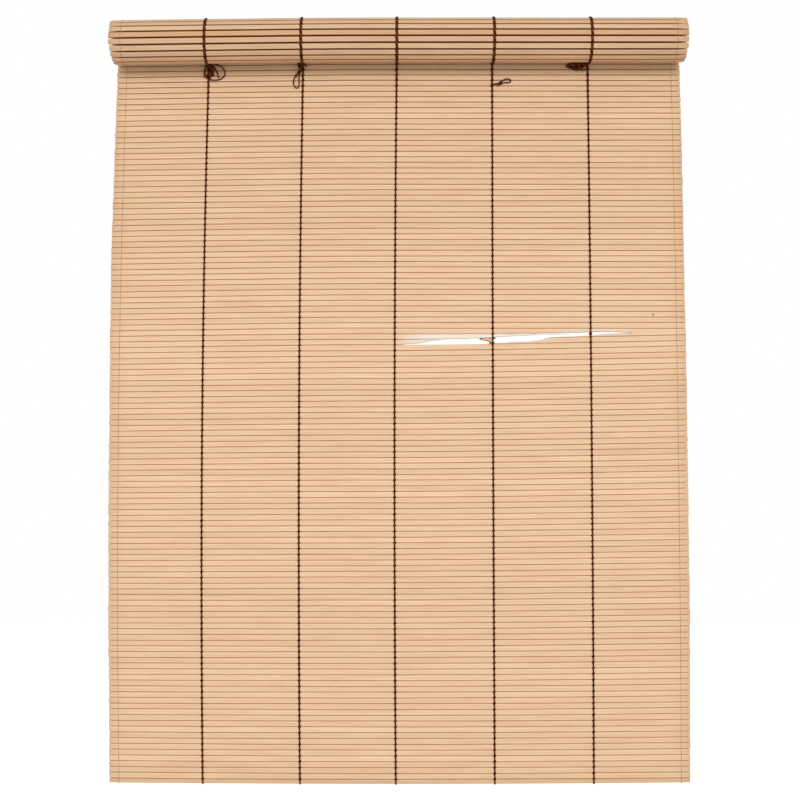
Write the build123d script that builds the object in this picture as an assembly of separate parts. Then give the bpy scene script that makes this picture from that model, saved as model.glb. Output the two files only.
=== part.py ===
from build123d import *
import math
import os

# A woven slat blind that hangs in its own frame. X runs along the slats, Z is up and +Y points to the wall.
# The origin lies on the wall side of the sheet, level with the axis of the roll, midway along the slats.

# Slats: flat sticks with rounded edges, which bear on their neighbours along a seam
slat_length = 600.0
slat_width = 5.9
slat_thickness = 4.2
slat_seam = 1.2
slat_edge = 0.5
row_count = 130
bottom_slat_width = 3.6

# Roll: a spiral of the same slats, which touch at their inner edges and gape at the outer ones
roll_radius = 26.0
core_radius = 6.2
turn_clearance = 0.3

# Warp yarns: they hold every slat from both sides and run on round the outer turn of the roll
yarn_width = 2.2
yarn_thickness = 0.9
yarn_spacing = 100.7
yarn_shift = -2.3
yarn_count = 5
yarn_turn_share = 0.88

# Edge threads: thin, one near each end of the slats
thread_width = 0.5
thread_thickness = 0.4
thread_inset = 9.0

# Break: below this many rows a slat has lost a length of its middle, and the slat above it has split
# along a slant. Each point is a share of half the slat length from the middle, then a share of the slat width
# below the top edge of the broken row.
rows_above_count = 53
break_shares = [
    (0.01, 1.0), (0.33, 0.95), (0.39, 0.75), (0.46, 0.62), (0.505, 0.48), (0.52, 0.1),
    (0.565, -0.1), (0.635, -0.4), (0.705, -0.66), (0.8, -0.98), (0.66, -0.96), (0.51, -0.82),
    (0.39, -0.42), (0.31, 0.0), (0.15, 0.0), (0.1, 0.4), (0.06, 0.72),
]
splinter_shares = [
    (0.284, 0.16), (0.312, 0.08), (0.338, 0.14), (0.334, 0.36), (0.341, 0.6), (0.333, 0.84), (0.316, 0.52),
]

# Yarn knots: three where the roll meets the sheet, and a small one lower down. Two of the four, in their order
# along the slats, lie a little to the right of their yarn.
knot_asides = [1.5, 0.0, 0.9, 0.0]
knot_width = 5.0
knot_depth = 3.5
knot_height = 5.0
knot_drop = 18.5
small_knot_width = 3.4
small_knot_depth = 2.4
small_knot_height = 3.4
small_knot_drop = 39.9
knot_edge = 0.9

# Loose yarn, from a knot and, apart from the third, back into it. Each point has X from the middle
# of the knot, how far the yarn stands off the face of the slats, and Z from the middle of the knot.
tail_diameter = 1.3
tail_sides = 6
fillet_share = 0.45
tail_routes = [
    [
        (2.5, 2.6, 0.2), (7.6, 2.6, 0.2), (13.2, 1.8, -1.5), (17.5, 1.3, -5.6), (18.7, 1.1, -10.9),
        (15.8, 1.2, -15.3), (9.4, 1.7, -17.4), (2.7, 2.4, -16.9), (-2.1, 2.4, -14.1), (-3.9, 1.9, -9.9),
        (-2.4, 2.0, -6.8), (0.4, 2.6, -5.3), (0.4, 2.6, -2.5),
    ],
    [
        (-1.4, 2.6, -2.5), (-1.4, 2.6, -6.2), (-5.0, 1.8, -11.0), (-7.9, 1.3, -16.2), (-8.3, 1.1, -21.6),
        (-6.0, 1.1, -25.4), (-3.2, 1.2, -25.6), (-1.9, 1.4, -21.4), (-2.5, 1.6, -16.2), (-2.1, 1.9, -10.8),
        (0.7, 2.6, -6.4), (0.7, 2.6, -2.5),
    ],
    [
        (1.7, 2.0, 0.1), (5.6, 2.0, 0.1), (10.2, 1.4, 3.4), (14.8, 1.2, 5.9), (18.8, 1.1, 5.6),
        (20.2, 1.1, 3.4), (18.0, 1.1, 1.6), (13.8, 1.1, 1.9), (9.6, 1.2, 0.6), (5.8, 1.3, -1.9),
    ],
    [
        (-2.5, 2.6, 0.4), (-7.4, 2.6, 0.4), (-13.2, 1.8, 1.6), (-18.4, 1.4, 0.6), (-21.4, 1.2, -1.6),
        (-19.4, 1.2, -4.0), (-14.2, 1.3, -3.9), (-8.6, 1.6, -5.2), (-3.4, 2.3, -6.9), (0.8, 2.6, -5.6),
        (0.8, 2.6, -2.5),
    ],
]

sheet_back = -yarn_thickness
sheet_front = sheet_back - slat_thickness
groove_depth = (slat_thickness - slat_seam) / 2
seam_back = sheet_back - groove_depth
seam_front = sheet_front + groove_depth
sheet_foot = -row_count * slat_width
blind_foot = sheet_foot - bottom_slat_width

inner_radius = roll_radius - slat_thickness
roll_axis = sheet_front - inner_radius
turn_pitch = slat_thickness + yarn_thickness + turn_clearance
full_turn = 2 * math.pi

half_length = slat_length / 2
yarn_middle = (yarn_count - 1) / 2
yarn_places = [yarn_shift + (k - yarn_middle) * yarn_spacing for k in range(yarn_count)]

along_slats = Vector(1, 0, 0)
to_wall = Vector(0, 1, 0)


def stick(outline, middle, length):
    """A solid with this YZ outline, centred on middle and running along the slats."""
    start = middle - length / 2
    edge = Polyline([(start, p.Y, p.Z) for p in outline], close=True)
    return extrude(make_face(edge), amount=length, dir=along_slats)


def through_sheet(shares):
    """A solid with an outline on the face of the broken row, from the front of the slats to their back."""
    top = -rows_above_count * slat_width
    points = [(x * half_length, sheet_front, top - z * slat_width) for x, z in shares]
    return extrude(make_face(Polyline(points, close=True)), amount=slat_thickness, dir=to_wall)


def slat_rows(top, widths):
    """The outline of slats stacked downwards from top, with a groove on both faces at every seam."""
    front, back = [], []
    for width in widths:
        foot = top - width
        front += [Vector(0, seam_front, top), Vector(0, sheet_front, top - slat_edge)]
        front += [Vector(0, sheet_front, foot + slat_edge)]
        back += [Vector(0, seam_back, top), Vector(0, sheet_back, top - slat_edge)]
        back += [Vector(0, sheet_back, foot + slat_edge)]
        top = foot
    front.append(Vector(0, seam_front, top))
    back.append(Vector(0, seam_back, top))
    return front + back[::-1]


def roll_corners():
    """The angle and place of each inner corner of the rolled slats, from the sheet inwards."""
    angle, radius, corners = 0, inner_radius, []
    while radius > core_radius:
        corners.append((angle, Vector(0, roll_axis + radius * math.cos(angle), radius * math.sin(angle))))
        angle += 2 * math.asin(slat_width / 2 / radius)
        radius = inner_radius - turn_pitch * angle / full_turn
    return corners


angles, corners = zip(*roll_corners())
along = [(b - a).normalized() for a, b in zip(corners, corners[1:])]
outward = [step.cross(along_slats) for step in along]
before = [to_wall] + outward


def over_corner(k, height):
    """The point at this height over the inner faces of the two slats that share corner k."""
    middle = (before[k] + outward[k]).normalized()
    return corners[k] + middle * (height / middle.dot(outward[k]))


def rolled_slats():
    """The spiral of slats, each one a ridge that narrows outwards from the seam with its neighbour."""
    outline = [corners[0]]
    for k, (step, out) in enumerate(zip(along, outward)):
        if k:
            outline.append(over_corner(k, slat_seam))
        outline.append(corners[k] + out * slat_thickness + step * slat_edge)
        outline.append(corners[k + 1] + out * slat_thickness - step * slat_edge)
    return stick(outline + list(corners[:0:-1]), 0, slat_length)


def warp(place, width, thickness):
    """Yarn from the roll's outer turn down the back, round the bottom slat and up the front of the sheet."""
    covered = sum(angle < yarn_turn_share * full_turn for angle in angles)

    def side(lift):
        last = corners[covered] + outward[covered - 1] * (slat_thickness + lift)
        turn = [over_corner(k, slat_thickness + lift) for k in range(covered - 1, -1, -1)]
        foot = blind_foot - lift
        hem = [Vector(0, sheet_back + lift, foot), Vector(0, sheet_front - lift, foot)]
        return [last] + turn + hem + [Vector(0, sheet_front - lift, 0)]

    return stick(side(thickness) + side(0)[::-1], place, width)


def yarn_knot(middle, size):
    """A small rounded lump of yarn."""
    return Pos(*middle) * chamfer(Box(*size).edges(), knot_edge)


def yarn_tail(name, middle, route):
    """A limp length of yarn through its route, with each bend as wide as its two runs allow."""
    points = [Vector(middle.X + x, sheet_front - off, middle.Z + z) for x, off, z in route]
    radii = []
    for a, b, c in zip(points, points[1:], points[2:]):
        turn = math.radians((b - a).get_angle(c - b))
        run = min((b - a).length, (c - b).length)
        radii.append(fillet_share * run / math.tan(turn / 2))
    path = FilletPolyline(*points, radius=radii)
    section = Plane(origin=path @ 0, z_dir=path % 0) * RegularPolygon(tail_diameter / 2, tail_sides)
    tail = sweep(section, path=path)
    print(name, "length", round(path.length, 1), "radii", [round(r, 1) for r in radii])
    print("volume over section times length", round(tail.volume / (section.area * path.length), 4))
    return tail


sheet = stick(slat_rows(0, [slat_width] * row_count), 0, slat_length)
nodes = {
    "hanging_slats": sheet - through_sheet(break_shares),
    "bottom_slat": stick(slat_rows(sheet_foot, [bottom_slat_width]), 0, slat_length),
    "rolled_slats": rolled_slats(),
    "splinter": through_sheet(splinter_shares),
    "left_edge_thread": warp(thread_inset - half_length, thread_width, thread_thickness),
    "right_edge_thread": warp(half_length - thread_inset, thread_width, thread_thickness),
}
for k, place in enumerate(yarn_places):
    nodes[f"warp_yarn_{k + 1}"] = warp(place, yarn_width, yarn_thickness)

# The back of each knot lies on the face of its yarn
big_knot = (knot_width, knot_depth, knot_height)
small_knot = (small_knot_width, small_knot_depth, small_knot_height)
knots = [
    (yarn_places[0], knot_drop, big_knot),
    (yarn_places[1], knot_drop, big_knot),
    (yarn_places[3], small_knot_drop, small_knot),
    (yarn_places[4], knot_drop, big_knot),
]
for k, ((place, drop, size), aside, route) in enumerate(zip(knots, knot_asides, tail_routes), 1):
    middle = Vector(place + aside, sheet_front - yarn_thickness - size[1] / 2, -drop)
    nodes[f"yarn_knot_{k}"] = yarn_knot(middle, size)
    nodes[f"yarn_tail_{k}"] = yarn_tail(f"yarn_tail_{k}", middle, route)

os.makedirs("parts", exist_ok=True)
for name, solid in nodes.items():
    export_step(solid, f"parts/{name}.step")
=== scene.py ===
import math
import bpy
import numpy as np
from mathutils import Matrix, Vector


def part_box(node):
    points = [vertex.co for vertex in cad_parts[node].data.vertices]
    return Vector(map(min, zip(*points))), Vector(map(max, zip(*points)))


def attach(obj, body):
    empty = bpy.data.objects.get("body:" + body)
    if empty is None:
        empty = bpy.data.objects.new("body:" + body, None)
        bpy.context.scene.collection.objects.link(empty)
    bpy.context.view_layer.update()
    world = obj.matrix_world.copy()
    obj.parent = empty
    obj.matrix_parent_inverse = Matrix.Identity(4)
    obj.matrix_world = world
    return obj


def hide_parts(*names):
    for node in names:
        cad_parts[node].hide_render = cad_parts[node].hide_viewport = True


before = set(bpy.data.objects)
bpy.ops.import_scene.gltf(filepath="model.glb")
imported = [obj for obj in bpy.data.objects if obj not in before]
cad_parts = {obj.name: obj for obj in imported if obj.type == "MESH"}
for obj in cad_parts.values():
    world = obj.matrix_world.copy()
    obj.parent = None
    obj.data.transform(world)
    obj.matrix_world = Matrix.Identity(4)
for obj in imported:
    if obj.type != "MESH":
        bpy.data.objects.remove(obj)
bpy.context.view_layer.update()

# Hanging slats
# Flat sticks of split and planed bamboo, one under the other, whose rounded edges bear on their neighbours.
# Only the yarns hold them. Two of them have split and lost a length, which leaves a gap beside the middle.
mm = 0.001
rng = np.random.default_rng(7)

sheet_low, sheet_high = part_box("hanging_slats")
row_count = 130
slat_length = sheet_high.x - sheet_low.x
half_length = slat_length / 2
slat_width = (sheet_high.z - sheet_low.z) / row_count
slat_thickness = sheet_high.y - sheet_low.y
sheet_middle = (sheet_low.y + sheet_high.y) / 2
slat_edge = 0.75 * mm
slat_crown = 0.06 * mm
groove_depth = 1.5 * mm
most_edge_share = 0.3
most_groove_share = 0.7
ragged_end = 0.6 * mm
slat_stand = 0.1 * mm

# The slats aren't quite level: the left end droops, below the break the right end has risen, and both ends
# have risen at the foot
first_broken_row = 52
left_droop = 3 * mm
droop_start = -45 * mm
right_rise = 4.9 * mm
bend_power = 1.3
foot_rise = 1.6 * mm


def lean(x, seam):
    """How far a seam lies above its level place."""
    droop = left_droop * np.clip((droop_start - x) / (droop_start + half_length), 0, None) ** bend_power
    rise = right_rise * np.clip(x / half_length, 0, None) ** bend_power
    relaxed = max(seam - first_broken_row, 0) / (row_count - first_broken_row)
    bow = foot_rise * (x / half_length) ** 2
    return (rise * (seam > first_broken_row) - droop) * (1 - relaxed) + bow * relaxed


# The rows at the break and at the foot also lie a little higher than equal rows would, and each seam wanders
break_lift = 1.1 * mm
foot_lift = 1.2 * mm
lift_seams = [0, first_broken_row, first_broken_row + 2, row_count]
seam_lifts = [0, break_lift, break_lift, foot_lift]
slat_bow = 0.12 * mm
short_bow_share = 0.5
short_bow_turns = 2.6
bow_phases = rng.uniform(0, 2 * math.pi, (row_count + 1, 2))


def seam_height(x, seam):
    """The Z of the seam between two rows."""
    turn = 2 * math.pi * x / slat_length
    long_bow = np.sin(turn + bow_phases[seam, 0])
    short_bow = short_bow_share * np.sin(short_bow_turns * turn + bow_phases[seam, 1])
    lift = np.interp(seam, lift_seams, seam_lifts)
    return lean(x, seam) - seam * slat_width + lift + slat_bow * (long_bow + short_bow)


# One ring round a slat. Each point has its share of the way down the slat, of the rounded edge that it lies
# inside by, of the groove's depth and of the crown, and lies on the front or the back
edge_shares = [0, 0.3, 0.65, 1, 1.4]
edge_depth_shares = [1, 0.5, 0.13, 0, 0]
edge_count = len(edge_shares)
face_shares = [0] * edge_count + [0.5] + [1] * edge_count
round_shares = [*edge_shares, 0, *(-s for s in edge_shares[::-1])]
depth_shares = [*edge_depth_shares, 0, *edge_depth_shares[::-1]]
crown_shares = [0] * edge_count + [1] + [0] * edge_count
ring_across = np.array(face_shares + face_shares[::-1])
ring_round = np.array(round_shares + round_shares[::-1])
ring_depth = np.array(depth_shares + depth_shares[::-1])
ring_crown = np.array(crown_shares * 2)
ring_face = np.repeat([-1, 1], 2 * edge_count + 1)


def slat_rings(top, foot, thickness):
    """The height of each point round a slat and its depth behind the middle plane, section by section.
    Top and foot have a height for the front of a section and one for its back. Where a slat has split thin,
    its edges and grooves are smaller."""
    front = ring_face < 0
    top_line = np.where(front, top[:, :1], top[:, 1:])
    foot_line = np.where(front, foot[:, :1], foot[:, 1:])
    width = top_line - foot_line
    edge = np.minimum(slat_edge, most_edge_share * width)
    height = top_line - width * ring_across - edge * ring_round
    half = thickness[:, None] / 2
    depth = np.minimum(groove_depth, most_groove_share * half)
    return height, ring_face * (half - depth * ring_depth + slat_crown * ring_crown)


def bars(name, lofts, **attributes):
    """A mesh of closed bars. A loft is an array of rings, and an attribute has a value for each point."""
    points = np.concatenate([loft.reshape(-1, 3) for loft in lofts])
    faces, start = [], 0
    for loft in lofts:
        grid = start + np.arange(loft.shape[0] * loft.shape[1]).reshape(loft.shape[:2])
        turned = np.roll(grid, -1, 1)
        faces += np.stack([grid[:-1], turned[:-1], turned[1:], grid[1:]], -1).reshape(-1, 4).tolist()
        faces += [grid[0, ::-1].tolist(), grid[-1].tolist()]
        start += grid.size
    mesh = bpy.data.meshes.new(name)
    mesh.from_pydata(points, [], faces)
    for key, values in attributes.items():
        spread = [np.broadcast_to(v, loft.shape[:2]).ravel() for v, loft in zip(values, lofts)]
        mesh.attributes.new(key, "FLOAT", "POINT").data.foreach_set("value", np.concatenate(spread))
    mesh.shade_smooth()
    mesh.set_sharp_from_angle(angle=math.radians(50))
    piece = bpy.data.objects.new(name, mesh)
    bpy.context.scene.collection.objects.link(piece)
    return piece


# Over its last few millimetres a slat is worn thinner and narrower, and between its ends it is plain
end_steps = np.array([0, 0.3, 1.2, 2.6, 4.5, 9]) * mm
end_insets = np.array([0.7, 0.45, 0.3, 0.15, 0.04, 0]) * mm
plain_start = 20 * mm
plain_sections = 16


def slat_sections(outs, inset_share):
    """The places along a whole slat, with its ragged ends, and how far each section draws in near the ends.
    Outs say how far the two ends stand out of the slat's own length."""
    start, end = half_length + np.array(outs) - rng.uniform(0, 1, 2) * ragged_end
    plain = np.linspace(-half_length + plain_start, half_length - plain_start, plain_sections)
    x = np.concatenate([end_steps - start, plain, end - end_steps[::-1]])
    return x, inset_share * np.concatenate([end_insets, np.zeros(plain_sections), end_insets[::-1]])


# The mat is a little wider in the middle than at the roll and the foot
end_rows = [0, 13, 25, 38, 60, 81, 103, 128]
left_outs = np.array([-2.2, -0.3, 1, 2.6, 2.2, 1.8, 0.2, -3]) * mm
right_outs = np.array([-1.2, -0.3, 0.6, 1, 2, 2.1, 2.1, 0.3]) * mm


def row_outs(row):
    """How far the left and the right end of a row stand out."""
    return np.interp(row, end_rows, left_outs), np.interp(row, end_rows, right_outs)


def paired(line):
    """The same line for the front and the back of a slat."""
    return np.stack([line, line], 1)


# Shade in the grooves between slats is painted on their edges, and it fades towards the ends of a slat
seam_fade_start = 4 * mm
seam_fade_end = 12 * mm
least_edge_shade = 0.75
handled_length = 13 * mm
handled_share = 0.17


def edge_shade(x, most):
    """How much painted shade a slat takes round each section: most on its edges, as the shade in the grooves
    between the slats, apart from its ends, where it fades. Handling has also darkened the ends a little
    all round."""
    from_end = half_length - np.abs(x)
    fade = np.interp(from_end, [seam_fade_start, seam_fade_end], [0, 1])
    handled = np.interp(from_end, [0, handled_length], [handled_share, 0])
    return handled[:, None] + most * rng.uniform(least_edge_shade, 1) * fade[:, None] * ring_depth


# How much painted groove shade the edges of a plain slat take
plain_edge_darkness = 0.65
lofts, tones, seams, fresh = [], [], [], []


def add_slat(x, top, foot, thickness, tone, split=0, most=plain_edge_darkness):
    """Adds a slat of the sheet between two lines, each with a height for the front and one for the back.
    Split says how much bare fibre it shows, from 0 to 1, and most how much painted shade its edges may take."""
    height, depth = slat_rings(top, foot, thickness)
    stand = sheet_middle + rng.uniform(-1, 1) * slat_stand
    lofts.append(np.stack([np.broadcast_to(x[:, None], height.shape), stand + depth, height], -1))
    tones.append(tone)
    seams.append(edge_shade(x, most))
    fresh.append(split)


# The rows next to the roll are painted darker, as the roll's shade on them, and their edges take more painted
# shade. Their ends are also more worn
roll_shade_rows = [3, 10, 30, 55]
painted_roll_shade = [1.8, 1, 0.65, 0]
edge_rows = [5, 12, 45, 60]
edge_darkness = [1.5, 0.56, 0.56, 0.49]
worn_rows = [0, 25]
worn_shares = [0.9, 0.45]
whole_rows = [*range(first_broken_row - 1), *range(first_broken_row + 2, row_count)]
for row in whole_rows:
    x, inset = slat_sections(row_outs(row), np.interp(row, worn_rows, worn_shares))
    top = paired(seam_height(x, row) - inset)
    foot = paired(seam_height(x, row + 1) + inset)
    # A random tone, less the painted shade of the roll on the rows near it
    tone = rng.uniform() - np.interp(row, roll_shade_rows, painted_roll_shade)
    darkness = np.interp(row, edge_rows, edge_darkness)
    add_slat(x, top, foot, slat_thickness - 2 * inset, tone, most=darkness)

# A split follows the fibres, in small steps that are a share of the row's width, and slants towards the back
split_step = 0.05
split_run = 3.7 * mm
split_slant = 0.9 * mm
split_section = 2 * mm


def split_line(x, row, shares):
    """A height on a broken row at each x. A share is of half the length, from the middle, and then of the
    row's width, from its top."""
    along, down = np.transpose(shares)
    share = np.interp(x, along * half_length, down)
    ragged = np.where((share > 0) & (share < 1), split_step * np.sin(x / split_run + row) ** 3, 0)
    top = seam_height(x, row)
    return top - (share + ragged) * (top - seam_height(x, row + 1))


# What is left of the broken slats, with the lines that they split along and how much bare fibre each part
# shows, from 0 to 1, along its length. The slat over the break is split too, from its foot to a point near
# its right end.
over_shares = [(0.3, 1), (0.36, 0.97), (0.51, 0.92), (0.667, 0.74), (0.706, 0.64), (0.775, 0.7), (0.82, 0.8)]
upper_shares = [(0.13, 1), (0.31, 0.95), (0.39, 0.58), (0.51, 0.22), (0.6, 0.08)]
rest_shares = [
    (0.52, 1), (0.56, 0.92), (0.61, 0.8), (0.667, 0.6), (0.706, 0.17), (0.775, -0.15), (0.82, -0.45),
]
lower_left_shares = [(0.01, 1), (0.06, 0.74), (0.1, 0.44), (0.15, 0.06)]
lower_right_shares = [(0.3, 0.96), (0.39, 0.7), (0.46, 0.6), (0.5, 0.46), (0.515, 0.1), (0.53, 0)]
over_bare = [(0.5, 0), (0.7, 0.35), (0.82, 0.2)]
upper_bare = [(-0.01, 0), (0.04, 0.5), (0.12, 0.85), (0.52, 1), (0.6, 0.6)]
lower_left_bare = [(-0.01, 0), (0.04, 0.5), (0.14, 0.95)]
lower_right_bare = [(0.3, 0.5), (0.5, 0.25), (0.6, 0)]
rest_bare = [(0.52, 0.5), (0.82, 0.1)]
over_end = 0.82 * half_length
upper_end = 0.6 * half_length
rest_start = 0.53 * half_length
lower_left_end = 0.145 * half_length
lower_right_start = 0.31 * half_length
filled_start = 0.815 * half_length
filled_sections = 30


def broken_slat(row, start, end, tone, bare_shares, foot_shares=None, top_shares=None):
    """A part of a broken slat from start to end, with its foot or its top along a split."""
    x = np.linspace(start, end, int((end - start) / split_section))
    top = split_line(x, row, top_shares) if top_shares else seam_height(x, row)
    foot = split_line(x, row, foot_shares) if foot_shares else seam_height(x, row + 1)
    slant = np.clip(foot - seam_height(x, row + 1), 0, np.minimum(split_slant, (top - foot) / 2))
    along, bare = np.transpose(bare_shares)
    split = np.interp(x, along * half_length, bare)[:, None]
    add_slat(x, paired(top), np.stack([foot, foot + slant], 1), np.full(len(x), slat_thickness), tone, split)


over, upper, lower = first_broken_row - 1, first_broken_row, first_broken_row + 1
over_tone, upper_tone, lower_tone = 0.6, 0.4, 0.5
left_out, right_out = row_outs(upper)
left_end, right_end = -half_length - left_out, half_length + right_out
broken_slat(over, left_end, over_end, over_tone, over_bare, foot_shares=over_shares)
broken_slat(upper, left_end, upper_end, upper_tone, upper_bare, foot_shares=upper_shares)
broken_slat(upper, rest_start, over_end, upper_tone, rest_bare, top_shares=rest_shares)
broken_slat(lower, left_end, lower_left_end, lower_tone, lower_left_bare, foot_shares=lower_left_shares)
broken_slat(lower, lower_right_start, right_end, lower_tone, lower_right_bare, top_shares=lower_right_shares)

# Right of the split, the slat over the break also fills what is left of the row below
x = np.linspace(filled_start, right_end, filled_sections)
top, foot = [paired(seam_height(x, seam)) for seam in (over, lower)]
add_slat(x, top, foot, np.full(filled_sections, slat_thickness), over_tone)

# How near each point of a ring lies to the middle of its face, from 0 at the slat's edges to 1
across = 1 - np.abs(2 * ring_across - 1)


def linear(code):
    """An sRGB hex colour as linear red, green, blue and alpha."""
    parts = [int(code[i:i + 2], 16) / 255 for i in (1, 3, 5)]
    return [p / 12.92 if p < 0.04045 else ((p + 0.055) / 1.055) ** 2.4 for p in parts] + [1]


def add(tree, kind, inputs=None, **settings):
    """Adds a node with its settings, and sets or links its inputs."""
    made = tree.nodes.new(kind)
    for key, value in settings.items():
        setattr(made, key, value)
    for key, value in (inputs or {}).items():
        if isinstance(value, bpy.types.NodeSocket):
            tree.links.new(value, made.inputs[key])
        else:
            made.inputs[key].default_value = value
    return made


def empty_tree(holder):
    """The node tree of a new material or world, with nothing in it yet."""
    holder.use_nodes = True
    holder.node_tree.nodes.clear()
    return holder.node_tree


bare_fibre = "#f8eee2"
fleck_colour = "#7a2f16"
fleck_place = (267.3 * mm, sheet_low.y, -285.5 * mm)
fleck_radius = 1.5 * mm
streak_size = np.array([75, 2, 1.1]) * mm
cloud_size = np.array([45, 20, 6]) * mm


def split_bamboo(name, pale, mid, deep, edge, edge_share):
    """Split and planed bamboo, which shows long fibre streaks, a tone of its own on each slat and a soft
    sheen. Its edges are painted darker, as the shade in the grooves between slats, and it is nearly white
    where the fibre has freshly split.
    A fibre is 0.2 to 0.4 mm wide. The streaks are drawn about 1 mm wide, or they wouldn't show."""
    material = bpy.data.materials.new(name)
    tree = empty_tree(material)
    place = add(tree, "ShaderNodeTexCoord").outputs["Object"]
    tone, middle, seam, split = [
        add(tree, "ShaderNodeAttribute", attribute_name=key).outputs["Fac"]
        for key in ("tone", "across", "seam", "fresh")
    ]
    apart = add(tree, "ShaderNodeCombineXYZ", {"X": tone}).outputs[0]
    own = add(tree, "ShaderNodeVectorMath", {0: place, 1: apart}, operation="ADD").outputs[0]
    streak_at = add(tree, "ShaderNodeMapping", {"Vector": own, "Scale": 1 / streak_size}).outputs[0]
    streaks = add(tree, "ShaderNodeTexNoise", {"Vector": streak_at, "Scale": 1, "Detail": 4}).outputs["Fac"]
    cloud_at = add(tree, "ShaderNodeMapping", {"Vector": own, "Scale": 1 / cloud_size}).outputs[0]
    clouds = add(tree, "ShaderNodeTexNoise", {"Vector": cloud_at, "Scale": 1, "Detail": 2}).outputs["Fac"]
    fibre = add(tree, "ShaderNodeMapRange", {0: streaks, 1: 0.45, 2: 0.7, 3: 1, 4: 0.75}).outputs[0]
    bare = add(tree, "ShaderNodeMath", {0: split, 1: fibre}, operation="MULTIPLY").outputs[0]
    from_fleck = add(tree, "ShaderNodeVectorMath", {0: place, 1: fleck_place}, operation="DISTANCE")

    # Each layer tints those before it: a value, the two ends of its range, the shares there, and the tint.
    # A Mix of colours takes them at 6 and 7 and gives the result at 2.
    layers = [
        (streaks, 0.45, 0.75, 0, 0.3, deep),
        (clouds, 0.4, 0.7, 0, 0.17, deep),
        (middle, 0.35, 1, 0, 0.24, deep),
        # The seam value paints the grooves' shade on the slats' edges, with the handled ends and the
        # splinter's dark slivers
        (seam, 0, 1, 0, edge_share, edge),
        (bare, 0, 1, 0, 1, bare_fibre),
        (from_fleck.outputs["Value"], 0.4 * fleck_radius, fleck_radius, 0.9, 0, fleck_colour),
    ]
    slat_tone = {0: tone, 6: linear(mid), 7: linear(pale)}
    mixed = add(tree, "ShaderNodeMix", slat_tone, data_type="RGBA", clamp_factor=False)
    for value, start, end, low, high, tint in layers:
        share = add(tree, "ShaderNodeMapRange", {0: value, 1: start, 2: end, 3: low, 4: high}).outputs[0]
        tints = {0: share, 6: mixed.outputs[2], 7: linear(tint)}
        mixed = add(tree, "ShaderNodeMix", tints, data_type="RGBA")
    bump = add(tree, "ShaderNodeBump", {"Height": streaks, "Strength": 0.25, "Distance": 0.1 * mm})
    rough = add(tree, "ShaderNodeMapRange", {0: streaks, 1: 0.3, 2: 0.7, 3: 0.5, 4: 0.66})
    shader = add(tree, "ShaderNodeBsdfPrincipled", {
        "Base Color": mixed.outputs[2], "Roughness": rough.outputs[0], "Normal": bump.outputs[0],
        "IOR": 1.5, "Specular IOR Level": 0.35,
    })
    add(tree, "ShaderNodeOutputMaterial", {"Surface": shader.outputs[0]})
    return material


slat_bamboo = split_bamboo("split_bamboo", "#f9d4ad", "#f0cba4", "#d0a074", "#945f2c", 1)
hanging_slats = bars(
    "hanging_bamboo_slats", lofts, tone=tones, seam=seams, fresh=fresh, across=[across] * len(lofts),
)
hanging_slats.data.materials.append(slat_bamboo)
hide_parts("hanging_slats")
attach(hanging_slats, "root")

# Rolled slats
# The upper end of the same mat, wound towards the front in about three turns round an open core.
# The slats touch at their inner edges and gape at the outer ones, so dark gaps run along the roll.
# The shade in these gaps is also painted on the slats' edges.
roll_radius = 26 * mm
core_radius = 6.2 * mm
turn_pitch = 5.4 * mm
inner_radius = roll_radius - slat_thickness
roll_axis = sheet_low.y - inner_radius

corners = []
angle, radius = 0, inner_radius
while radius > core_radius:
    corners.append((roll_axis + radius * math.cos(angle), radius * math.sin(angle)))
    angle += 2 * math.asin(slat_width / 2 / radius)
    radius = inner_radius - turn_pitch * angle / (2 * math.pi)
corners = np.array(corners)
steps = np.diff(corners, axis=0)
steps /= np.linalg.norm(steps, axis=1)[:, None]
outward = np.stack([steps[:, 1], -steps[:, 0]], 1)

# From the front of the roll down to its foot, the ends of the outer turn draw in
roll_rows = [0, 11, 17]
roll_left_outs = np.array([0, 0, -3]) * mm
roll_right_outs = np.array([1, 1, -1]) * mm
roll_worn_share = 0.65
# How much painted gap shade the edges of the rolled slats take
roll_edge_darkness = 2
lofts, tones, seams = [], [], []
for k, (corner, step, out) in enumerate(zip(corners, steps, outward)):
    outs = np.interp(k, roll_rows, roll_left_outs), np.interp(k, roll_rows, roll_right_outs)
    x, inset = slat_sections(outs, roll_worn_share)
    height, depth = slat_rings(paired(slat_width - inset), paired(inset), slat_thickness - 2 * inset)
    out_by = slat_thickness / 2 + depth + rng.uniform(-1, 1) * slat_stand
    y = corner[0] + step[0] * height + out[0] * out_by
    z = corner[1] + step[1] * height + out[1] * out_by + lean(x, 0)[:, None]
    lofts.append(np.stack([np.broadcast_to(x[:, None], y.shape), y, z], -1))
    tones.append(rng.uniform())
    # The shade of the gaps between rolled slats is painted on their edges, clipped at full strength
    seams.append(np.clip(edge_shade(x, roll_edge_darkness), 0, 1))

# Darker bamboo for the roll and the splinter. Its edge colour is painted shade for the gaps between slats
rolled_bamboo = split_bamboo("darker_split_bamboo", "#e9c39d", "#d8ab81", "#c3905f", "#7a3e0a", 1)
rolled_slats = bars("rolled_bamboo_slats", lofts, tone=tones, seam=seams, across=[across] * len(lofts))
rolled_slats.data.materials.append(rolled_bamboo)
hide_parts("rolled_slats")
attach(rolled_slats, "root")

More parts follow.
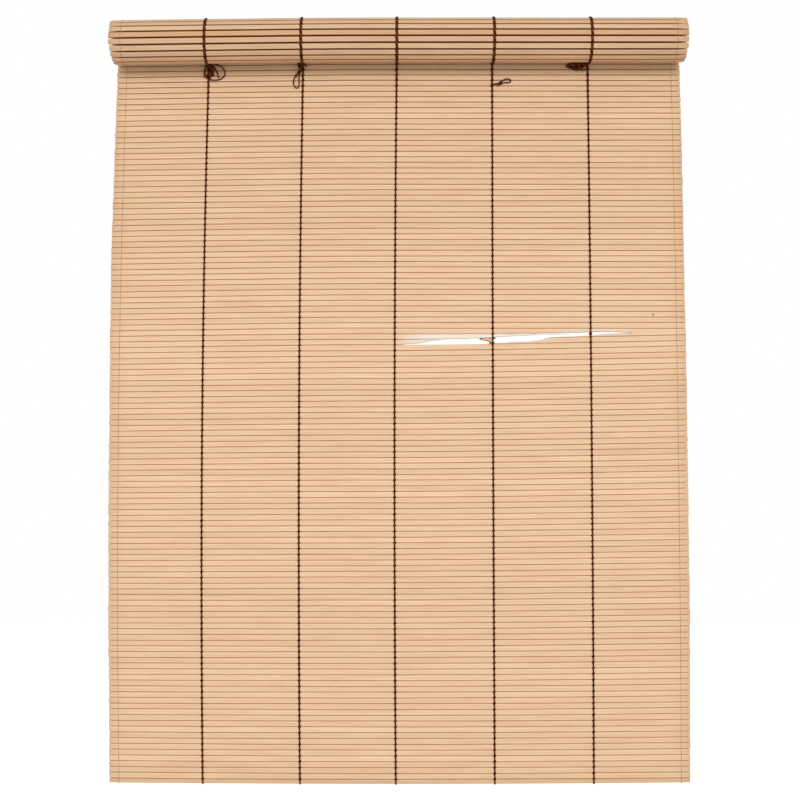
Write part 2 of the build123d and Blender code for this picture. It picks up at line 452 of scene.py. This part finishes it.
# Bottom slat
# The last slat at the foot, split from the same bamboo, narrower than the rest and coloured darker.
# The yarns turn under it, which ends the weave.
foot_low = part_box("bottom_slat")[0]
bottom_worn_share = 0.4
bottom_tone = 0.5
lofts, tones, seams, fresh = [], [], [], []
x, inset = slat_sections(row_outs(row_count), bottom_worn_share)
top = paired(seam_height(x, row_count) - inset)
foot = paired(foot_low.z + lean(x, row_count) + inset)
add_slat(x, top, foot, slat_thickness - 2 * inset, bottom_tone)
foot_bamboo = split_bamboo("darker_foot_bamboo", "#e9c49d", "#e0b98f", "#c89869", "#8a5f38", 0.9)
bottom_slat = bars("bottom_bamboo_slat", lofts, tone=tones, seam=seams, across=[across])
bottom_slat.data.materials.append(foot_bamboo)
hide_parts("bottom_slat")
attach(bottom_slat, "root")

# Warp yarns
# Five pairs of dark brown twisted cotton yarn. One yarn of a pair goes in front of a slat, the other goes
# behind it, and they cross and change sides in every seam. They run on round the outer turn of the roll.
yarn_count = 5
yarn_names = [f"warp_yarn_{k + 1}" for k in range(yarn_count)]
yarn_half_width = 0.83 * mm
yarn_half_thickness = 0.45 * mm
yarn_sway = 0.15 * mm
yarn_bead = 1.2
seam_dip = 0.9 * mm
seam_sharpness = 1.6
wander_places = [0, 0.4, 1]

# On the roll the yarns are slack and thick, with small beads, and they tighten over some rows below it
rolled_rows = 18
rolled_bead_share = 0.3
yarn_roll_swell = 1.72
slack_rows = [-1, 3, 11]
slack_shares = [1, 0.42, 0]
yarn_sides = 8


def blind_rows(place):
    """The two seams of each row at this x, from the roll down to the foot, and its outward direction."""
    rows = []
    for k in range(rolled_rows - 1, -1, -1):
        drop = [0, lean(place, 0)]
        middle = outward[k] * slat_thickness / 2 + drop
        rows.append((corners[k + 1] + middle, corners[k] + middle, outward[k]))
    for row in range(row_count):
        top, foot = [seam_height(place, seam) for seam in (row, row + 1)]
        rows.append((np.array([sheet_middle, top]), np.array([sheet_middle, foot]), np.array([1, 0])))
    last = np.array([sheet_middle, foot_low.z + lean(place, row_count)])
    rows.append((rows[-1][1], last, np.array([1, 0])))
    return rows


def twined(place, strand, half_width, half_thickness, sway, bead, roll_swell, shares, wander):
    """One yarn of a pair, as rings: it lies over one row, dips into the seam and goes behind the next row.
    It swells in the seam, and also on the roll and for some rows below it. Its end turns under the bottom
    slat. Wander is how far it lies aside at the top, two fifths of the way down and at the foot."""
    rows = blind_rows(place)
    rows_down = np.arange(len(rows)) - rolled_rows
    down = np.clip(rows_down / row_count, 0, 1)
    aside = np.polyval(np.polyfit(wander_places, wander, 2), down)
    near_seam = np.tile((1 - np.sin(math.pi * shares)) ** seam_sharpness, (len(rows), 1))
    near_seam[-1, shares > 0.5] = 0
    lift = slat_thickness / 2 + half_thickness - seam_dip * near_seam
    path = []
    for k, (start, end, out) in enumerate(rows):
        side = 1 if (k + strand) % 2 else -1
        line = start + np.outer(shares, end - start) + side * np.outer(lift[k], out)
        path.append(np.column_stack([place + aside[k] + side * sway * np.cos(math.pi * shares), line]))
    last = path[-1][-1]
    hem = [last - [0, share * (last[1] - sheet_middle), half_thickness] for share in (0.5, 1)]
    path = np.concatenate([*path, hem])
    slack = 1 + (roll_swell - 1) * np.interp(rows_down, slack_rows, slack_shares)
    beads = bead * np.where(rows_down < 0, rolled_bead_share, 1)
    swell = slack[:, None] * (1 + beads[:, None] * near_seam)
    swell = np.append(swell.ravel(), [1, 1])[:, None, None]
    run = np.gradient(path, axis=0)
    run /= np.linalg.norm(run, axis=1)[:, None]
    wide = np.array([1, 0, 0]) - run * run[:, :1]
    wide /= np.linalg.norm(wide, axis=1)[:, None]
    thick = np.cross(run, wide)
    turn = np.linspace(0, 2 * math.pi, yarn_sides, endpoint=False)
    across_ring = half_width * np.cos(turn)[:, None] * wide[:, None]
    return path[:, None] + swell * (across_ring + half_thickness * np.sin(turn)[:, None] * thick[:, None])


fuzz_size = 0.3 * mm
wave_rate = 20


def spun_yarn(name, light, dark, ply):
    """Spun and twisted yarn: matt, with plies that wind round it and fuzz that makes it uneven.
    A wave turns through 20 radians in one unit, and here one turn is about six plies long.
    The fuzz is finer than would show, and is drawn 0.3 mm wide."""
    material = bpy.data.materials.new(name)
    tree = empty_tree(material)
    place = add(tree, "ShaderNodeTexCoord").outputs["Object"]
    tilted = add(tree, "ShaderNodeMapping", {"Vector": place, "Rotation": (0.6, 0.5, 0.4)}).outputs[0]
    plies = add(tree, "ShaderNodeTexWave", {"Vector": tilted, "Scale": 1 / ply / wave_rate, "Distortion": 2})
    fuzz = add(tree, "ShaderNodeTexNoise", {"Vector": place, "Scale": 1 / fuzz_size, "Detail": 3})
    both = {0: plies.outputs["Fac"], 1: fuzz.outputs["Fac"]}
    uneven = add(tree, "ShaderNodeMath", both, operation="MULTIPLY").outputs[0]
    colour = add(tree, "ShaderNodeMix", {0: uneven, 6: linear(dark), 7: linear(light)}, data_type="RGBA")
    bump = add(tree, "ShaderNodeBump", {"Height": uneven, "Strength": 0.6, "Distance": 0.15 * mm})
    shader = add(tree, "ShaderNodeBsdfPrincipled", {
        "Base Color": colour.outputs[2], "Roughness": 0.85, "Normal": bump.outputs[0],
        "IOR": 1.5, "Specular IOR Level": 0.06,
    })
    add(tree, "ShaderNodeOutputMaterial", {"Surface": shader.outputs[0]})
    return material


brown_cotton = spun_yarn("twisted_brown_cotton", "#854b29", "#431a09", 0.8 * mm)
row_shares = np.array([0, 0.04, 0.1, 0.2, 0.35, 0.5, 0.65, 0.8, 0.9, 0.96, 1])
yarn_wander = mm * np.array([
    [3, -0.8, 3], [2.2, -0.5, 2.1], [0.8, -1.4, -0.2], [1.2, 0.6, 0.7], [1.6, 2.6, 1.7],
])
for name, wander in zip(yarn_names, yarn_wander):
    low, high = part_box(name)
    place = (low.x + high.x) / 2
    pair = [twined(place, strand, yarn_half_width, yarn_half_thickness, yarn_sway, yarn_bead, yarn_roll_swell,
                   row_shares, wander) for strand in (0, 1)]
    yarn = bars(f"twined_{name}", pair)
    yarn.data.materials.append(brown_cotton)
    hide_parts(name)
    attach(yarn, "root")

# Edge threads
# A pair of thin pale threads near each end of the slats, spun and twined round every slat as the yarns are.
# They keep the ends of the slats in line.
pale_thread = spun_yarn("thin_pale_thread", "#d0a078", "#ad7a4c", 0.3 * mm)
thread_half = 0.22 * mm
thread_sway = 0.15 * mm
thread_bead = 0
thread_roll_swell = 1.2
thread_shares = np.array([0, 0.06, 0.2, 0.5, 0.8, 0.94, 1])
thread_wander = np.array([[3.5, -1, 4.3], [-1.9, 0.8, -0.4]]) * mm
for name, wander in zip(("left_edge_thread", "right_edge_thread"), thread_wander):
    low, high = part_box(name)
    place = (low.x + high.x) / 2
    pair = [twined(place, strand, thread_half, thread_half, thread_sway, thread_bead, thread_roll_swell,
                   thread_shares, wander) for strand in (0, 1)]
    thread = bars(f"twined_{name}", pair)
    thread.data.materials.append(pale_thread)
    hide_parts(name)
    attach(thread, "root")

# Splinter
# A sliver of the bamboo slat that broke, with a ragged end on either side. Only the fourth yarn holds it,
# in which it is still caught.
splinter_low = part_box("splinter")[0]
splinter_end = 0.334 * half_length
splinter_sections = 12
splinter_top_shares = [(0.284, 0.0), (0.312, -0.12), (0.338, -0.12)]
splinter_foot_shares = [(0.284, 0.1), (0.312, 0.48), (0.333, 0.9), (0.338, 0.9)]
splinter_swell = 1.15
splinter_tip = 8 * mm
splinter_tip_share = 0.35
splinter_tone = 0.8
splinter_edge_darkness = 1.2
lofts, tones, seams, fresh = [], [], [], []
x = np.linspace(splinter_low.x, splinter_end, splinter_sections)
taper = np.interp(x, [x[0], x[0] + splinter_tip], [splinter_tip_share, 1])
top, foot = [paired(split_line(x, lower, shares)) for shares in (splinter_top_shares, splinter_foot_shares)]
thickness = splinter_swell * slat_thickness * taper
add_slat(x, top, foot, thickness, splinter_tone, most=splinter_edge_darkness)

# Dark slivers of skin along its edges: where each starts and ends, its top on the row, and its height
slivers = [
    (0.285, 0.293, -0.04, 0.6 * mm), (0.3, 0.31, -0.2, 0.7 * mm), (0.316, 0.339, -0.2, 1.5 * mm),
    (0.318, 0.336, 0.7, 1.3 * mm),
]
sliver_sections = 5
sliver_swell = 1.25
sliver_tone = 0
for start, end, top_share, sliver_height in slivers:
    x = np.linspace(start, end, sliver_sections) * half_length
    top = split_line(x, lower, [(start, top_share), (end, top_share)])
    thickness = np.full(sliver_sections, sliver_swell * slat_thickness)
    add_slat(x, paired(top), paired(top - sliver_height), thickness, sliver_tone)
    seams[-1] = 1
splinter = bars("caught_bamboo_splinter", lofts, tone=tones, seam=seams, across=[across] * len(lofts))
splinter.data.materials.append(rolled_bamboo)
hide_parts("splinter")
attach(splinter, "root")

# Yarn knots
# Overhand knots in the yarn, pulled tight, with short ends and strands of yarn that stand out of them.
# Three lie where the roll meets the sheet, and a small one lies lower down.
knot_yarn_radius = 0.73 * mm


def loose_yarn(name, radius, routes, ties=()):
    """Yarn along smooth lines, with each route from end to end and each tie closed on itself."""
    curve = bpy.data.curves.new(name, "CURVE")
    curve.dimensions = "3D"
    curve.bevel_depth = radius
    curve.bevel_resolution = 2
    curve.use_fill_caps = True
    curve.materials.append(brown_cotton)
    for line in [*routes, *ties]:
        spline = curve.splines.new("NURBS")
        spline.points.add(len(line) - 1)
        spline.points.foreach_set("co", np.column_stack([line, np.ones(len(line))]).ravel())
        spline.order_u = 3
        spline.use_endpoint_u = True
        spline.resolution_u = 8
    for spline in curve.splines[len(routes):]:
        spline.use_cyclic_u = True
    piece = bpy.data.objects.new(name, curve)
    bpy.context.scene.collection.objects.link(piece)
    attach(piece, "root")
    return piece


def beside_knot(middle, route):
    """A route in metres. A point has X from the middle of its knot, how far it stands off the slats, and Z
    from the middle of its knot."""
    return [(middle.x + x * mm, sheet_low.y - off * mm, middle.z + z * mm) for x, off, z in route]


# The strands that stand out of each knot, in millimetres, with the knots in their order along the slats
knot_strands = [
    [
        [(1, 3, 0.5), (5.4, 3, -1.6), (8.4, 2.6, -5.6), (10.8, 1.8, -10), (11.6, 1.3, -14.6)],
        [(1, 3.4, -0.5), (4.6, 3.4, -3), (6.4, 2.8, -6.6), (5.6, 2.6, -10.4), (2.2, 2.6, -12),
         (0, 2.7, -9.6)],
        [(0, 3.2, -1.6), (3.2, 3.2, -4.4), (3.4, 2.9, -8), (1.2, 2.9, -11.4), (-1.6, 2.4, -13)],
        [(-1, 2.8, -1), (-3, 2.4, -4), (-2.6, 2.2, -8), (-4, 1.6, -12), (-1, 2.4, -15.6), (3, 2, -15)],
        [(-1, 3, -2), (-3.2, 2.6, -6), (-3.4, 2.2, -10), (-1.5, 2.2, -13.5), (2.5, 2.2, -14.5), (7, 2, -11)],
        [(1, 3.4, -2), (3.4, 3, -6), (2.6, 2.8, -10), (-0.4, 2.6, -12.4), (-2.8, 2.2, -14.2)],
        [(1.5, 3.2, 0), (4, 3.2, -2.5), (4.8, 2.8, -7), (3.6, 2.6, -12), (0.4, 2.4, -15.6)],
    ],
    [
        [(1, 3, 0.5), (3.6, 2.6, 0), (5.6, 2, -1.6), (5.4, 1.8, -2.8)],
        [(-1, 3, 0.5), (-3, 2.6, 1.4), (-3.4, 2.2, 0), (-3.2, 2, -3)],
        [(-0.4, 3, -1), (-1.4, 2.6, -6), (-2.6, 2.2, -9.6), (-4.8, 1.8, -11.6), (-5.6, 1.5, -14)],
        [(-1.6, 3, 0), (-2.4, 3, -3), (-1.2, 2.8, -6), (-2, 2.4, -9)],
        [(1, 3, 0), (1.8, 2.8, -2.5), (0.6, 2.8, -5), (-0.4, 2.6, -8.5)],
    ],
    [
        [(0.6, 2, 0.1), (4, 2, -0.4), (7.6, 1.6, 0.6), (10.6, 1.5, 2.6), (11.6, 1.4, 3.8)],
    ],
    [
        [(-1, 3.2, 0.8), (-6, 3.2, 1.4), (-11, 2.6, 1), (-15, 2, 1.4), (-18, 1.5, -0.4)],
        [(-1, 3.4, 0), (-5, 3.4, -1), (-9, 2.9, -3), (-14, 2, -1.6), (-18.6, 1.5, -3)],
        [(-1, 3, -0.8), (-4, 3, -3.4), (-8, 2.4, -6.6), (-12, 1.6, -6.2), (-15, 1.4, -4.8)],
        [(-1, 3.6, 0.4), (-6, 3.6, 0.2), (-10, 3.2, -0.8), (-16, 2.2, -2.4), (-21, 1.4, -2.6)],
        [(-1, 3.2, -0.4), (-4, 3.2, -2.4), (-8, 2.8, -4.4), (-12, 2.2, -4.6), (-16, 1.6, -3)],
        [(-1, 3.4, -1.2), (-3.4, 3.2, -4.4), (-6.4, 2.6, -5.6), (-10, 2, -3.4), (-14, 1.6, -3.6)],
        [(-1, 3.4, 0.6), (-5, 3.4, -0.4), (-9, 3, -1.8), (-13, 2.4, -2.6), (-17, 1.8, -1.2)],
    ],
]

# The tie itself goes twice round its middle and three times from front to back
tie_points = 24
tie_turns = np.linspace(0, 2 * math.pi, tie_points, endpoint=False)
tie_reach = (2 + np.cos(3 * tie_turns)) / 3
knot_middles = []
for k, strands in enumerate(knot_strands, 1):
    low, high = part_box(f"yarn_knot_{k}")
    middle = (low + high) / 2
    half = (high - low) / 2
    tie = np.column_stack([
        middle.x + (half.x - knot_yarn_radius) * tie_reach * np.cos(2 * tie_turns),
        middle.y + (half.y - knot_yarn_radius) * np.sin(3 * tie_turns),
        middle.z + (half.z - knot_yarn_radius) * tie_reach * np.sin(2 * tie_turns),
    ])
    routes = [beside_knot(middle, strand) for strand in strands]
    knot = loose_yarn(f"overhand_yarn_knot_{k}", knot_yarn_radius, routes, [tie])
    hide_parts(f"yarn_knot_{k}")
    knot_middles.append(middle)

# Loose yarn
# What is left over of the yarn at each knot. It hangs in loops that go back into the knot, apart from
# the third, a short tail that curls back on itself and ends bare.
tail_routes = [
    [
        (2.5, 2.6, 0.2), (7.6, 2.6, 0.2), (13.2, 1.8, -1.5), (17.5, 1.3, -5.6), (18.7, 1.1, -10.9),
        (15.8, 1.2, -15.3), (9.4, 1.7, -17.4), (2.7, 2.4, -16.9), (-2.1, 2.4, -14.1), (-3.9, 1.9, -9.9),
        (-2.4, 2.0, -6.8), (0.4, 2.6, -5.3), (0.4, 2.6, -2.5),
    ],
    [
        (-1.4, 2.6, -2.5), (-1.4, 2.6, -6.2), (-5.0, 1.8, -11.0), (-7.9, 1.3, -16.2), (-8.3, 1.1, -21.6),
        (-6.0, 1.1, -25.4), (-3.2, 1.2, -25.6), (-1.9, 1.4, -21.4), (-2.5, 1.6, -16.2), (-2.1, 1.9, -10.8),
        (0.7, 2.6, -6.4), (0.7, 2.6, -2.5),
    ],
    [
        (1.7, 2.0, 0.1), (5.6, 2.0, 0.1), (10.2, 1.4, 3.4), (14.8, 1.2, 5.9), (18.8, 1.1, 5.6),
        (20.2, 1.1, 3.4), (18.0, 1.1, 1.6), (13.8, 1.1, 1.9), (9.6, 1.2, 0.6), (5.8, 1.3, -1.9),
    ],
    [
        (-2.5, 2.6, 0.4), (-7.4, 2.6, 0.4), (-13.2, 1.8, 1.6), (-18.4, 1.4, 0.6), (-21.4, 1.2, -1.6),
        (-19.4, 1.2, -4.0), (-14.2, 1.3, -3.9), (-8.6, 1.6, -5.2), (-3.4, 2.3, -6.9), (0.8, 2.6, -5.6),
        (0.8, 2.6, -2.5),
    ],
]
loose_radius = 0.65 * mm
tail_lengths = [0.0592, 0.0514, 0.0364, 0.0455]
tail_ends = ["object", "object", "bare", "object"]
tails = zip(knot_middles, tail_routes, tail_lengths, tail_ends)
for k, (middle, points, length, far_end) in enumerate(tails, 1):
    route = beside_knot(middle, points)
    tail = loose_yarn(f"loose_yarn_tail_{k}", loose_radius, [route])
    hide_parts(f"yarn_tail_{k}")

# Floor, light and camera
# A pale floor well below the blind, a white surround and one large soft lamp above and in front of it.
# The camera stands in front of the blind, a little below its middle, and looks slightly up.
floor_drop = 280 * mm
floor_size = 12
floor_glow = 0.65
surround_light = 0.49
bpy.ops.mesh.primitive_plane_add(size=floor_size, location=(0, 0, foot_low.z - floor_drop))
floor = bpy.context.object
floor.name = "pale_floor"


def seen_directly(tree):
    """1 for what the camera sees, straight or in a gloss or glass, and otherwise 0."""
    path = add(tree, "ShaderNodeLightPath").outputs
    seen = path["Is Camera Ray"]
    for ray in ("Is Glossy Ray", "Is Transmission Ray"):
        seen = add(tree, "ShaderNodeMath", {0: seen, 1: path[ray]}, operation="MAXIMUM").outputs[0]
    return seen


# Matt paint scatters light evenly and takes the blind's shadow. Seen directly it also glows, so that it
# looks white.
white_paint = bpy.data.materials.new("matt_white_paint")
tree = empty_tree(white_paint)
lit = add(tree, "ShaderNodeBsdfDiffuse", {"Color": linear("#f2f2f2")})
glow = add(tree, "ShaderNodeMapRange", {0: seen_directly(tree), 3: 0, 4: floor_glow})
lift = add(tree, "ShaderNodeEmission", {"Strength": glow.outputs[0]})
painted = add(tree, "ShaderNodeAddShader", {0: lit.outputs[0], 1: lift.outputs[0]})
add(tree, "ShaderNodeOutputMaterial", {"Surface": painted.outputs[0]})
floor.data.materials.append(white_paint)

scene = bpy.context.scene
scene.view_settings.view_transform = "Standard"
world = bpy.data.worlds.new("white_surround")
scene.world = world
tree = empty_tree(world)
strength = add(tree, "ShaderNodeMapRange", {0: seen_directly(tree), 3: surround_light, 4: 1})
white = add(tree, "ShaderNodeBackground", {"Color": linear("#ffffff"), "Strength": strength.outputs[0]})
add(tree, "ShaderNodeOutputWorld", {"Surface": white.outputs[0]})

lamp = bpy.data.objects.new("soft_lamp", bpy.data.lights.new("soft_lamp", "AREA"))
lamp.data.shape = "RECTANGLE"
lamp.data.size = 7.8
lamp.data.size_y = 2.9
lamp.data.energy = 352
lamp.location = (0, -8, 2.13)
lamp.rotation_euler = (math.radians(72.6), 0, 0)
scene.collection.objects.link(lamp)

camera = bpy.data.objects.new("camera", bpy.data.cameras.new("camera"))
camera.data.lens = 68.35
camera.data.sensor_width = 36
camera.location = (1.8 * mm, -1588 * mm, -488.8 * mm)
camera.rotation_euler = (math.radians(94.1), 0, 0)
scene.collection.objects.link(camera)
scene.camera = camera
